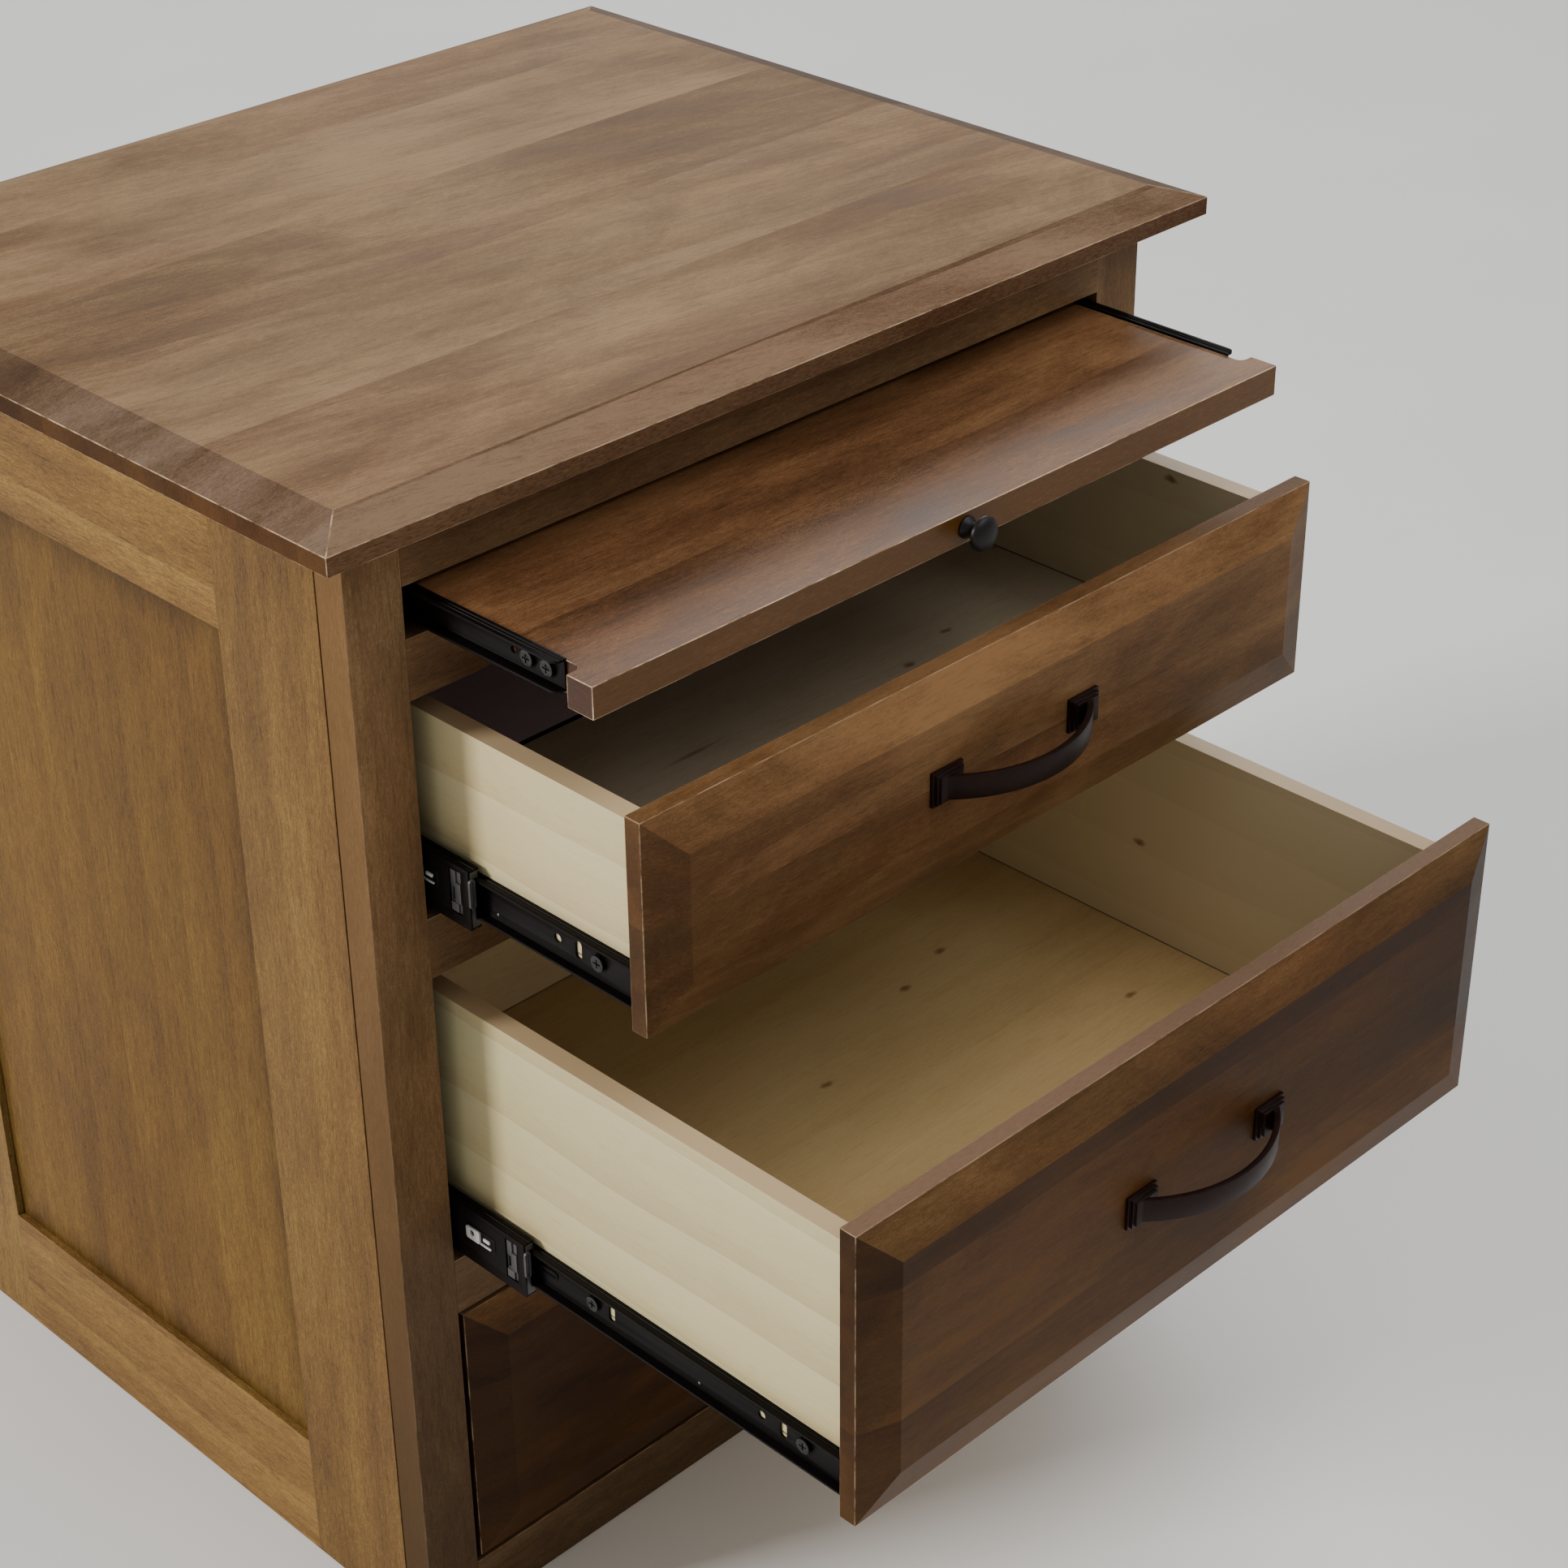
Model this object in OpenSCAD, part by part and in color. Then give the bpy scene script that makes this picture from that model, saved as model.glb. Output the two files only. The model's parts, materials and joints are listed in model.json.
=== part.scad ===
// Wooden drawer pedestal: a pull-out tray over three inset drawers on ball-bearing slides.
// X runs across the front, the front faces -Y, Z is up from the floor.
// The origin is the middle of the carcass footprint, on the floor.
// The tray and the two upper drawers are drawn pulled out; the bottom drawer is shut.

/* [Carcass] */
// Clear width between the face-frame stiles
open_w = 468; // [420:1:520]
// Carcass depth, from the front of the face frame to the back
body_d = 450; // [448:1:560]
// Width of a face-frame stile
stile_w = 32; // [28:1:45]
// Thickness of the face frame and of the side frames
frame_t = 19; // [17:1:22]
// Width of the side frames' stiles and rails
side_rail_w = 78; // [60:1:95]
// How far the side panels sit behind their frames
panel_recess = 4; // [2:0.5:6]
// Thickness of the side and back panels
panel_t = 6; // [5:0.5:8]
// Thickness of the bottom board
bottom_t = 16; // [12:1:19]

/* [Face frame heights] */
// Rail under the top
top_rail_h = 34; // [30:1:45]
// Opening of the tray
tray_open_h = 26; // [26:1:30]
// Rail under the tray
tray_rail_h = 31; // [28:1:40]
// Opening of the shallow drawer
shallow_open_h = 116; // [100:1:140]
// Rails between the drawers
mid_rail_h = 33; // [28:1:40]
// Openings of the two deep drawers
deep_open_h = 169; // [150:1:200]
// Rail at the floor
base_rail_h = 34; // [34:1:60]

/* [Bevelled boards] */
// Thickness of the top and of the drawer fronts at their bevelled edge
edge_t = 9.5; // [8:0.5:12]
// How far the raised field stands above the edge
bevel_rise = 7; // [4:0.5:8]
// Width of the bevel
bevel_run = 22; // [16:1:28]
// Overhang of the top at the front and the sides
overhang = 25; // [15:1:35]
// Overhang of the top at the back
back_overhang = 5; // [0:1:10]
// Gap around an inset drawer front
front_gap = 3; // [2:0.5:4]

/* [Drawer boxes] */
// Thickness of the box sides and back
box_t = 11; // [10:0.5:13]
// Thickness of the box bottom
box_bottom_t = 5; // [4:0.5:6]
// Depth of the drawer boxes
box_d = 400; // [380:1:410]
// Space over a shallow drawer's sides
shallow_headroom = 13; // [10:1:20]
// Space over a deep drawer's sides
deep_headroom = 20; // [14:1:30]

/* [Tray] */
// Thickness of the tray board
tray_t = 16; // [15:0.5:17]
// Depth of the tray board
tray_d = 320; // [318:1:340]
// Depth of the tray's full-width front lip
tray_lip_d = 16; // [12:1:24]

/* [Pose and travel] */
// How far the tray stands out
tray_out = 120; // [0:1:220]
// How far the shallow drawer stands out
shallow_out = 146; // [0:1:380]
// How far the upper deep drawer stands out
deep_out = 272; // [0:1:380]

/* [Slides] */
// Room for a drawer slide on each side
slide_gap = 12.7; // [12.5:0.1:13]
// Length of a drawer slide
slide_len = 400; // [380:1:404]
// Height of a slide's centre above its opening's lower edge
slide_up = 21; // [20:0.5:22]
// Diameter of the bearing balls
ball_d = 4; // [3.8:0.1:4]

/* [Pulls] */
// Distance between a pull's screws
pull_centres = 96; // [96:32:128]
// Height of a pull's strap
strap_h = 12; // [10:1:14]
// Thickness of a pull's strap
strap_t = 3; // [2:0.5:3.5]
// How far a pull stands out
pull_out = 25.5; // [22:0.5:30]
// Diameter of the tray's knob
knob_d = 17.5; // [15:0.5:22]

/* [Hidden] */
$fn = 48;
touch = 1;   // how far a cutting tool runs past the face it opens

// Widths and depths
half_open = open_w / 2;
half_body = half_open + stile_w;
side_in = half_body - frame_t;
face_y = -body_d / 2;
frame_back_y = face_y + frame_t;
back_y = body_d / 2;
back_panel_y = back_y - panel_t;

// Heights, from the floor up
lower_z = base_rail_h;
lower_top_z = lower_z + deep_open_h;
centre_z = lower_top_z + mid_rail_h;
centre_top_z = centre_z + deep_open_h;
upper_z = centre_top_z + mid_rail_h;
upper_top_z = upper_z + shallow_open_h;
tray_z = upper_top_z + tray_rail_h;
tray_top_z = tray_z + tray_open_h;
body_h = tray_top_z + top_rail_h;
panel_groove = 8;
reveal = 1.2;    // shadow line between the face frame and the sides

// Drawers: lower edge and height of the opening, headroom over the box, distance pulled out,
// and where the middle slide members' front ends rest when the drawer is shut
LOWER = [lower_z, deep_open_h, deep_headroom, 0, 45];
CENTRE = [centre_z, deep_open_h, deep_headroom, deep_out, 85];
UPPER = [upper_z, shallow_open_h, shallow_headroom, shallow_out, 45];
function open_z(d) = d[0];
function open_h(d) = d[1];
function headroom(d) = d[2];
function out(d) = d[3];
function middle_set(d) = d[4];

front_w = open_w - 2 * front_gap;
box_w = open_w - 2 * slide_gap;
box_lift = 5;
box_y = face_y + edge_t;
box_groove = 4;
box_groove_up = 8;

// Slide sections, measured from the cabinet side (x = 0) towards the drawer (x = slide_gap)
steel = 1.2;
crease_r = 0.6;
race = ball_d + 0.2;
middle_h = 32;
cabinet_h = middle_h + 2 * (race + steel);
member_h = middle_h - 2 * (race + steel);
middle_x = 3.2;
flange_x = 9.6;
member_depth = 5.7;
slide_y = face_y + 12;      // front of a drawer's own members, drawer shut
fixed_y = face_y + 20;      // front of the cabinet's members, clear of the face frame
middle_len = 325;
outer_cage_len = 140;
inner_cage_len = 108;
outer_cage_y = 205;    // centre of the outer cages behind the face frame, drawer shut
inner_cage_y = 252;    // the same for the inner cages
outer_ball_x = 6.2;
inner_ball_x = 8.2;
cage_t = 1.2;
ball_pitch = 18;
screw_at = [27, 168, 370];

// Tray slide, in the same terms
tray_edge_gap = 11;
tray_board_z = tray_top_z - 4.7 - tray_t;
tray_slide_z = tray_top_z - 11.2;
tray_member_h = 15.6;
tray_ball_d = 3;
tray_race = tray_ball_d + 0.2;
tray_fixed_h = tray_member_h + 2 * (tray_race + steel);
tray_fixed_len = 300;
tray_member_y = face_y + 25;
tray_member_len = 290;
tray_cage_len = 70;
tray_cage_y = 167;
tray_screw_at = [10, 23, 140, 270];
tray_hole_at = 33;
tray_side_gap = 2.9;

// Screws
shank_r = 1.75;
head_r = 4;
pull_screw_r = 2;

wood_top = "#8a6a4c";
wood_side = "#9a7950";
wood_front = "#6f5236";
birch = "#d8cdb4";
metal = "#2a2726";
screw_metal = "#b9b9b9";
stop_plastic = "#3a3a3a";
pull_metal = "#2b2220";

// ---------------------------------------------------------------- helpers

module block(x0, x1, y0, y1, z0, z1) {
  translate([x0, y0, z0]) cube([x1 - x0, y1 - y0, z1 - z0]);
}

// The children on both sides of the middle plane
module both_sides() {
  children();
  mirror([1, 0, 0]) children();
}

// A rectangular board with a raised field: w by h on plan, bevelled all round on its +Z face
module raised_board(w, h) {
  intersection() {
    translate([0, h / 2, 0]) rotate([90, 0, 0]) linear_extrude(h) raised_profile(w);
    translate([-w / 2, 0, 0]) rotate([90, 0, 90]) linear_extrude(w) raised_profile(h);
  }
}

module raised_profile(w) {
  polygon([
    [-w / 2, 0], [w / 2, 0], [w / 2, edge_t], [w / 2 - bevel_run, edge_t + bevel_rise],
    [bevel_run - w / 2, edge_t + bevel_rise], [-w / 2, edge_t]]);
}

// A screw along +X: its head's face at x = 0, the shank running to x = len
module screw(head_h, len) {
  difference() {
    rotate([0, 90, 0]) cylinder(h = head_h, r = head_r);
    for (turn = [0, 90])
      rotate([turn, 0, 0]) translate([-touch, -2.2, -0.4]) cube([touch + head_h / 2, 4.4, 0.8]);
  }
  translate([head_h / 2, 0, 0]) rotate([0, 90, 0]) cylinder(h = len - head_h / 2, r = shank_r);
}

// The hole that a screw's shank leaves in a board, along +X
module shank_hole(len) {
  rotate([0, 90, 0]) cylinder(h = len, r = shank_r);
}

// A steel channel along +Y: its web at x0, its flanges reaching to x1, h high over both flanges,
// with a crease rolled into the outside of both flanges at each x in creases
module channel(x0, x1, h, len, creases = []) {
  web_x = x1 > x0 ? x0 : x0 - steel;
  low_x = min(x0, x1);
  difference() {
    union() {
      translate([web_x, 0, -h / 2]) cube([steel, len, h]);
      for (z = [-h / 2, h / 2 - steel])
        translate([low_x, 0, z]) cube([abs(x1 - x0), len, steel]);
    }
    for (x = creases, z = [-h / 2, h / 2])
      translate([x, -touch, z]) rotate([-90, 0, 0]) cylinder(h = len + 2 * touch, r = crease_r);
  }
}

// A ball cage: a thin strip along +Y with balls in its pockets, centred on the origin
module ball_cage(len, d) {
  strip_w = d + 1.4;
  count = floor((len - 8) / ball_pitch);
  start = -(count - 1) * ball_pitch / 2;
  difference() {
    translate([-strip_w / 2, -len / 2, -cage_t / 2]) cube([strip_w, len, cage_t]);
    for (i = [0 : count - 1])
      translate([0, start + i * ball_pitch, -cage_t])
        cylinder(h = 2 * cage_t, r = d / 2 + 0.15);
  }
  for (i = [0 : count - 1])
    translate([0, start + i * ball_pitch, 0]) sphere(d = d);
}

// ---------------------------------------------------------------- carcass

module top_board() {
  w = 2 * (half_body + overhang);
  d = body_d + overhang + back_overhang;
  color(wood_top)
    translate([0, (back_overhang - overhang) / 2, body_h]) raised_board(w, d);
}

module face_stile() {
  color(wood_front) block(half_open, half_body, face_y, frame_back_y, 0, body_h);
}

module face_rail(z0, z1) {
  color(wood_front) block(-half_open, half_open, face_y, frame_back_y, z0, z1);
}

module face_stile_left() { mirror([1, 0, 0]) face_stile(); }
module face_stile_right() { face_stile(); }
module face_rail_top() { face_rail(tray_top_z, body_h); }
module face_rail_tray() { face_rail(upper_top_z, tray_z); }
module face_rail_middle() { face_rail(centre_top_z, upper_z); }
module face_rail_lower() { face_rail(lower_top_z, centre_z); }
module face_rail_base() { face_rail(0, base_rail_h); }

panel_out = half_body - panel_recess;
panel_in = panel_out - panel_t;
side_front_y = frame_back_y + side_rail_w;
side_rear_y = back_y - side_rail_w;

// The panel of the right-hand side, which fills the grooves of its frame
module side_panel() {
  color(wood_side)
    block(panel_in, panel_out, side_front_y - panel_groove, side_rear_y + panel_groove,
          side_rail_w - panel_groove, body_h - side_rail_w + panel_groove);
}

module side_stiles() {
  color(wood_side) difference() {
    union() {
      block(side_in, half_body, frame_back_y, side_front_y, 0, body_h);
      block(side_in, half_body, side_rear_y, back_y, 0, body_h);
    }
    side_panel();
    block(half_body - reveal, half_body + touch, frame_back_y - touch, frame_back_y + reveal,
          -touch, body_h + touch);
  }
}

module side_rails() {
  color(wood_side) difference() {
    union() {
      block(side_in, half_body, side_front_y, side_rear_y, 0, side_rail_w);
      block(side_in, half_body, side_front_y, side_rear_y, body_h - side_rail_w, body_h);
    }
    side_panel();
  }
}

module side_stiles_left() { mirror([1, 0, 0]) side_stiles(); }
module side_stiles_right() { side_stiles(); }
module side_rails_left() { mirror([1, 0, 0]) side_rails(); }
module side_rails_right() { side_rails(); }
module side_panel_left() { mirror([1, 0, 0]) side_panel(); }
module side_panel_right() { side_panel(); }

module back_panel() {
  color(birch) block(-side_in, side_in, back_panel_y, back_y, 0, body_h);
}

module bottom_board() {
  color(birch) block(-side_in, side_in, frame_back_y, back_panel_y, 0, bottom_t);
}

// Battens that bring the slides out flush with the stiles, one behind each slide
batten_h = 46;
tray_batten_h = 30;
module slide_battens() {
  color(birch) both_sides() difference() {
    union() {
      for (d = [LOWER, CENTRE, UPPER]) {
        z = open_z(d) + slide_up;
        block(half_open, side_in, frame_back_y, back_panel_y, z - batten_h / 2, z + batten_h / 2);
      }
      block(half_open, side_in, frame_back_y, back_panel_y,
            tray_slide_z - tray_batten_h / 2, tray_slide_z + tray_batten_h / 2);
    }
    fixed_screw_holes();
  }
}

// ---------------------------------------------------------------- fixed slide members

// Where the fixed members are screwed on, on the right-hand side
fixed_screw_at = [30, 190, 380];
tray_fixed_screw_at = [20, 150, 280];
fixed_head_h = 1.2;
fixed_screw_len = 14;

module at_fixed_screws() {
  for (d = [LOWER, CENTRE, UPPER], y = fixed_screw_at)
    translate([half_open, fixed_y + y, open_z(d) + slide_up]) children();
  for (y = tray_fixed_screw_at)
    translate([half_open, fixed_y + y, tray_slide_z]) children();
}

module fixed_screw_holes() {
  at_fixed_screws() translate([-touch, 0, 0])
    shank_hole(fixed_screw_len - steel - fixed_head_h + touch);
}

module cabinet_slide_screws() {
  color(screw_metal) both_sides() at_fixed_screws()
    translate([-steel - fixed_head_h, 0, 0]) screw(fixed_head_h, fixed_screw_len);
}

module cabinet_slide_members() {
  color(metal) both_sides() difference() {
    for (d = [LOWER, CENTRE, UPPER])
      translate([half_open, fixed_y, open_z(d) + slide_up])
        channel(0, -flange_x, cabinet_h, slide_len);
    at_fixed_screws() translate([-steel - touch, 0, 0]) shank_hole(steel + 2 * touch);
  }
}

module tray_fixed_members() {
  color(metal) both_sides() difference() {
    translate([half_open, fixed_y, tray_slide_z])
      channel(0, -tray_flange_x, tray_fixed_h, tray_fixed_len);
    at_fixed_screws() translate([-steel - touch, 0, 0]) shank_hole(steel + 2 * touch);
  }
}

// ---------------------------------------------------------------- tray

tray_flange_x = 8.4;
tray_member_depth = 6.6;
tray_y = face_y - tray_out;
tray_ball_x = 6.4;
tray_screw_len = 14;
tray_head_h = 2;

// The tray member's screws on the right-hand side
module at_tray_screws() {
  for (y = tray_screw_at)
    translate([half_open - tray_edge_gap, tray_member_y - tray_out + y, tray_slide_z]) children();
}

module tray_board() {
  half_w = half_open - tray_edge_gap;
  half_lip = half_open - tray_side_gap;
  notch_r = 3.5;
  color(wood_top) difference() {
    translate([0, tray_y, tray_board_z]) linear_extrude(tray_t) {
      translate([-half_w, 0]) square([2 * half_w, tray_d]);
      translate([-half_lip, 0]) square([2 * half_lip, tray_lip_d]);
      for (side = [-1, 1]) translate([side * half_w, tray_lip_d]) difference() {
        translate([side > 0 ? 0 : -notch_r, 0]) square(notch_r);
        translate([side * notch_r, notch_r]) circle(notch_r);
      }
    }
    both_sides() at_tray_screws() mirror([1, 0, 0]) translate([-touch, 0, 0])
      shank_hole(tray_screw_len - steel - tray_head_h + touch);
    translate([0, tray_y - touch, tray_mid_z]) rotate([-90, 0, 0])
      cylinder(h = stud_in_tray + touch, r = stud_r);
  }
}

tray_nose_r = 4;   // the flanges' front corners are rounded
module tray_slide_members() {
  color(metal) both_sides() difference() {
    at_tray_member() channel(0, tray_member_depth, tray_member_h, tray_member_len, [2.4, 4.4]);
    at_tray_screws() translate([-touch, 0, 0]) shank_hole(steel + 2 * touch);
    at_tray_member() translate([-touch, tray_hole_at, 0]) shank_hole(steel + 2 * touch);
    at_tray_member() translate([tray_member_depth - tray_nose_r, 0, -tray_member_h / 2 - touch])
      linear_extrude(tray_member_h + 2 * touch) difference() {
        translate([0, -touch]) square([tray_nose_r + touch, tray_nose_r + touch]);
        translate([0, tray_nose_r]) circle(tray_nose_r);
      }
  }
}

module at_tray_member() {
  translate([half_open - tray_edge_gap, tray_member_y - tray_out, tray_slide_z]) children();
}

module tray_slide_screws() {
  color(screw_metal) both_sides() at_tray_screws()
    translate([steel + tray_head_h, 0, 0]) mirror([1, 0, 0]) screw(tray_head_h, tray_screw_len);
}

module tray_ball_cages() {
  z = tray_member_h / 2 + tray_race / 2;
  color(screw_metal) both_sides() for (up = [-z, z])
    translate([half_open - tray_ball_x, face_y + tray_cage_y - tray_out / 2, tray_slide_z + up])
      ball_cage(tray_cage_len, tray_ball_d);
}

// Knob on the tray's front edge, turned about an axis along -Y
tray_mid_z = tray_board_z + tray_t / 2;
stud_r = 2;
stud_in_tray = 14;
stud_in_knob = 8;
knob_base_r = 5.6;
knob_neck_r = 3.6;
knob_len = 15;
knob_rim = 10.2;   // distance of the head's widest point from the tray
module knob_profile() {
  head_r2 = knob_d / 2;
  dome = 9;        // points along the domed face
  difference() {
    polygon(concat(
      [[0, 0], [knob_base_r, 0], [knob_base_r, 0.9], [knob_base_r - 0.5, 1.6],
       [knob_neck_r + 0.5, 3.4], [knob_neck_r, 5], [knob_neck_r + 0.4, 6.6], [knob_neck_r + 1.8, 8],
       [head_r2 - 0.9, knob_rim - 0.8], [head_r2, knob_rim]],
      [for (i = [0 : dome])
        let (a = 90 * i / dome)
          [head_r2 * cos(a), knob_rim + 0.7 + (knob_len - knob_rim - 0.7) * sin(a)]]));
    translate([-touch, -touch]) square([stud_r + touch, stud_in_knob + touch]);
  }
}

module tray_knob() {
  color(pull_metal) translate([0, tray_y, tray_mid_z]) rotate([90, 0, 0])
    rotate_extrude() knob_profile();
}

module tray_knob_stud() {
  color(screw_metal) translate([0, tray_y + stud_in_tray, tray_mid_z]) rotate([90, 0, 0])
    cylinder(h = stud_in_tray + stud_in_knob, r = stud_r);
}

// ---------------------------------------------------------------- drawers

// Every module here takes a drawer d and draws its piece where the drawer stands
function slide_z(d) = open_z(d) + slide_up;
function box_z(d) = open_z(d) + box_lift;
function box_h(d) = open_h(d) - headroom(d) - box_lift;
function pull_z(d) = open_z(d) + open_h(d) / 2;
function member_y(d) = slide_y - out(d);
box_bottom_z = box_lift + box_groove_up;
pull_foot_t = 4.7;
pull_foot_h = 18;
pull_screw_in = 3.2;
pull_head_h = 2.4;

module pulled(d) {
  translate([0, -out(d), 0]) children();
}

module at_pull_screws(d) {
  for (x = [-pull_centres / 2, pull_centres / 2])
    translate([x, 0, pull_z(d)]) children();
}

module pull_screw_holes(d) {
  at_pull_screws(d) translate([0, box_y + touch, 0]) rotate([90, 0, 0])
    cylinder(h = edge_t + bevel_rise + 2 * touch, r = pull_screw_r);
}

module drawer_front(d) {
  h = open_h(d) - 2 * front_gap;
  color(wood_front) pulled(d) difference() {
    translate([0, box_y, pull_z(d)]) rotate([90, 0, 0]) raised_board(front_w, h);
    box_bottom_blank(d);
    pull_screw_holes(d);
  }
}

// The bottom panel, which runs in grooves in the sides and the drawer front
module box_bottom_blank(d) {
  reach = box_w / 2 - box_t + box_groove;
  z = open_z(d) + box_bottom_z;
  block(-reach, reach, box_y - box_groove, box_y + box_d - box_t, z, z + box_bottom_t);
}

module box_bottom(d) {
  color(birch) pulled(d) box_bottom_blank(d);
}

module at_member_screws(d) {
  for (y = screw_at)
    translate([box_w / 2, slide_y + y, slide_z(d)]) children();
}

module box_sides(d) {
  color(birch) pulled(d) both_sides() difference() {
    block(box_w / 2 - box_t, box_w / 2, box_y, box_y + box_d, box_z(d), box_z(d) + box_h(d));
    box_bottom_blank(d);
    at_member_screws(d) mirror([1, 0, 0]) translate([-touch, 0, 0])
      shank_hole(member_screw_len - steel - member_head_h + touch);
  }
}

module box_back(d) {
  inner = box_w / 2 - box_t;
  color(birch) pulled(d)
    block(-inner, inner, box_y + box_d - box_t, box_y + box_d, box_z(d), box_z(d) + box_h(d));
}

// Strap pull: two stepped feet and a flat bow between them
module drawer_pull(d) {
  bow_half = pull_centres / 2 + 3.5;
  sag = pull_out - pull_foot_t + 0.2;
  bow_r = (bow_half * bow_half + sag * sag) / (2 * sag);
  bow_angle = asin(bow_half / bow_r);
  color(pull_metal) pulled(d)
    translate([0, face_y - bevel_rise, pull_z(d)]) difference() {
      union() {
        for (side = [-1, 1]) translate([side * pull_centres / 2, 0, 0]) {
          block(-10.3, 10.3, -1.8, 0, -pull_foot_h / 2, pull_foot_h / 2);
          block(-8.9, 8.9, -3.4, 0, 1.2 - pull_foot_h / 2, pull_foot_h / 2 - 1.2);
          block(-7.4, 7.4, -pull_foot_t, 0, 2.4 - pull_foot_h / 2, pull_foot_h / 2 - 2.4);
        }
        translate([0, bow_r - pull_out, -strap_h / 2]) rotate([0, 0, -90 - bow_angle])
          rotate_extrude(angle = 2 * bow_angle, $fn = 128)
            translate([bow_r - strap_t, 0]) square([strap_t, strap_h]);
      }
      for (x = [-pull_centres / 2, pull_centres / 2])
        translate([x, touch, 0]) rotate([90, 0, 0]) cylinder(h = pull_screw_in + touch, r = pull_screw_r);
    }
}

member_screw_len = 9;
member_head_h = 2;

// Two pull screws from inside the box and the screws of both slide members
module drawer_screws(d) {
  through = edge_t + bevel_rise + pull_screw_in;
  color(screw_metal) pulled(d) {
    at_pull_screws(d) translate([0, box_y, 0]) rotate([90, 0, 0]) {
      cylinder(h = through, r = pull_screw_r);
      translate([0, 0, -pull_head_h]) cylinder(h = pull_head_h, r = head_r);
    }
    both_sides() at_member_screws(d)
      translate([steel + member_head_h, 0, 0]) mirror([1, 0, 0]) screw(member_head_h, member_screw_len);
  }
}

// The member on the drawer, with a round hole behind its first screw and an upright slot beside
// each of its first two
hole_at = 55;
slots_at = [41, 156];
slot_r = 2.1;
slot_half = 2.6;
module slide_members(d) {
  color(metal) both_sides() translate([box_w / 2, member_y(d), slide_z(d)]) difference() {
    channel(0, member_depth, member_h, slide_len, [2.4]);
    for (y = screw_at) translate([-touch, y, 0]) shank_hole(steel + 2 * touch);
    translate([-touch, hole_at, 0]) rotate([0, 90, 0]) cylinder(h = steel + 2 * touch, r = 2.3);
    for (y = slots_at) translate([-touch, y, 0]) {
      for (z = [-slot_half, slot_half]) translate([0, 0, z]) rotate([0, 90, 0])
        cylinder(h = steel + 2 * touch, r = slot_r);
      translate([0, -slot_r, -slot_half]) cube([steel + 2 * touch, 2 * slot_r, 2 * slot_half]);
    }
  }
}

// The member between the cabinet's and the drawer's, which travels half as far as the drawer
module middle_members(d) {
  color(metal) both_sides() difference() {
    at_middle(d) channel(0, middle_x - flange_x, middle_h, middle_len, [-3.4]);
    at_middle(d)
      block(-steel - touch, touch, window_y[0], window_y[1], window_z[0], window_z[1]);
  }
}

module at_middle(d) {
  translate([half_open - middle_x, face_y + middle_set(d) - out(d) / 2, slide_z(d)]) children();
}

// Plastic stop in the front end of each middle member: its lever shows through the member's
// window, and a flat ring stands on its front end
window_y = [5.5, 14];
window_z = [-10.5, 13];
stop_len = 16;
stop_leg_len = 14;
stop_t = 2.2;
module slide_stops(d) {
  inner_h = middle_h - 2 * steel;
  leg_z = member_h / 2 + 0.6;
  color(stop_plastic) both_sides() at_middle(d) {
    difference() {
      block(-steel - stop_t, -steel, 0, stop_len, -inner_h / 2, inner_h / 2);
      block(-steel - stop_t - touch, -steel + touch, 10.6, 13.4, -4.4, 2.4);
    }
    for (end = [0, 1]) mirror([0, 0, end])
      block(-steel - stop_t - 2.4, -steel - stop_t, 0, stop_leg_len, leg_z, inner_h / 2);
    block(-steel, -0.3, 9.6, 13, 4, 12.4);
    block(-steel, -0.1, 6.2, 10.2, -4.6, 6);
    block(-steel, -0.3, 8.4, 13.4, -9.8, -5.2);
    translate([-1.4, 0, 3.9]) rotate([90, 0, 0]) linear_extrude(1.3) difference() {
      slot_shape(1.75, 15.6);
      slot_shape(0.85, 13.8);
    }
  }
}

// A slot with round ends, r its half width and h its full height
module slot_shape(r, h) {
  translate([-r, r - h / 2]) square([2 * r, h - 2 * r]);
  for (y = [r - h / 2, h / 2 - r]) translate([0, y]) circle(r);
}

module cage_pairs(x, y, up, len) {
  color(screw_metal) both_sides() for (z = [-up, up])
    translate([half_open - x, y, z]) ball_cage(len, ball_d);
}

// Balls between the cabinet's members and the middle ones travel a quarter as far as the drawer
module outer_cages(d) {
  translate([0, 0, slide_z(d)])
    cage_pairs(outer_ball_x, face_y + outer_cage_y - out(d) / 4, (middle_h + race) / 2, outer_cage_len);
}

// Balls between the middle members and the drawer's travel three quarters as far
module inner_cages(d) {
  translate([0, 0, slide_z(d)])
    cage_pairs(inner_ball_x, face_y + inner_cage_y - out(d) * 3 / 4, (member_h + race) / 2,
               inner_cage_len);
}

module upper_front() { drawer_front(UPPER); }
module upper_box_sides() { box_sides(UPPER); }
module upper_box_back() { box_back(UPPER); }
module upper_box_bottom() { box_bottom(UPPER); }
module upper_pull() { drawer_pull(UPPER); }
module upper_screws() { drawer_screws(UPPER); }
module upper_slide_members() { slide_members(UPPER); }
module upper_middle_members() { middle_members(UPPER); }
module upper_slide_stops() { slide_stops(UPPER); }
module upper_outer_cages() { outer_cages(UPPER); }
module upper_inner_cages() { inner_cages(UPPER); }

module centre_front() { drawer_front(CENTRE); }
module centre_box_sides() { box_sides(CENTRE); }
module centre_box_back() { box_back(CENTRE); }
module centre_box_bottom() { box_bottom(CENTRE); }
module centre_pull() { drawer_pull(CENTRE); }
module centre_screws() { drawer_screws(CENTRE); }
module centre_slide_members() { slide_members(CENTRE); }
module centre_middle_members() { middle_members(CENTRE); }
module centre_slide_stops() { slide_stops(CENTRE); }
module centre_outer_cages() { outer_cages(CENTRE); }
module centre_inner_cages() { inner_cages(CENTRE); }

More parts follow.
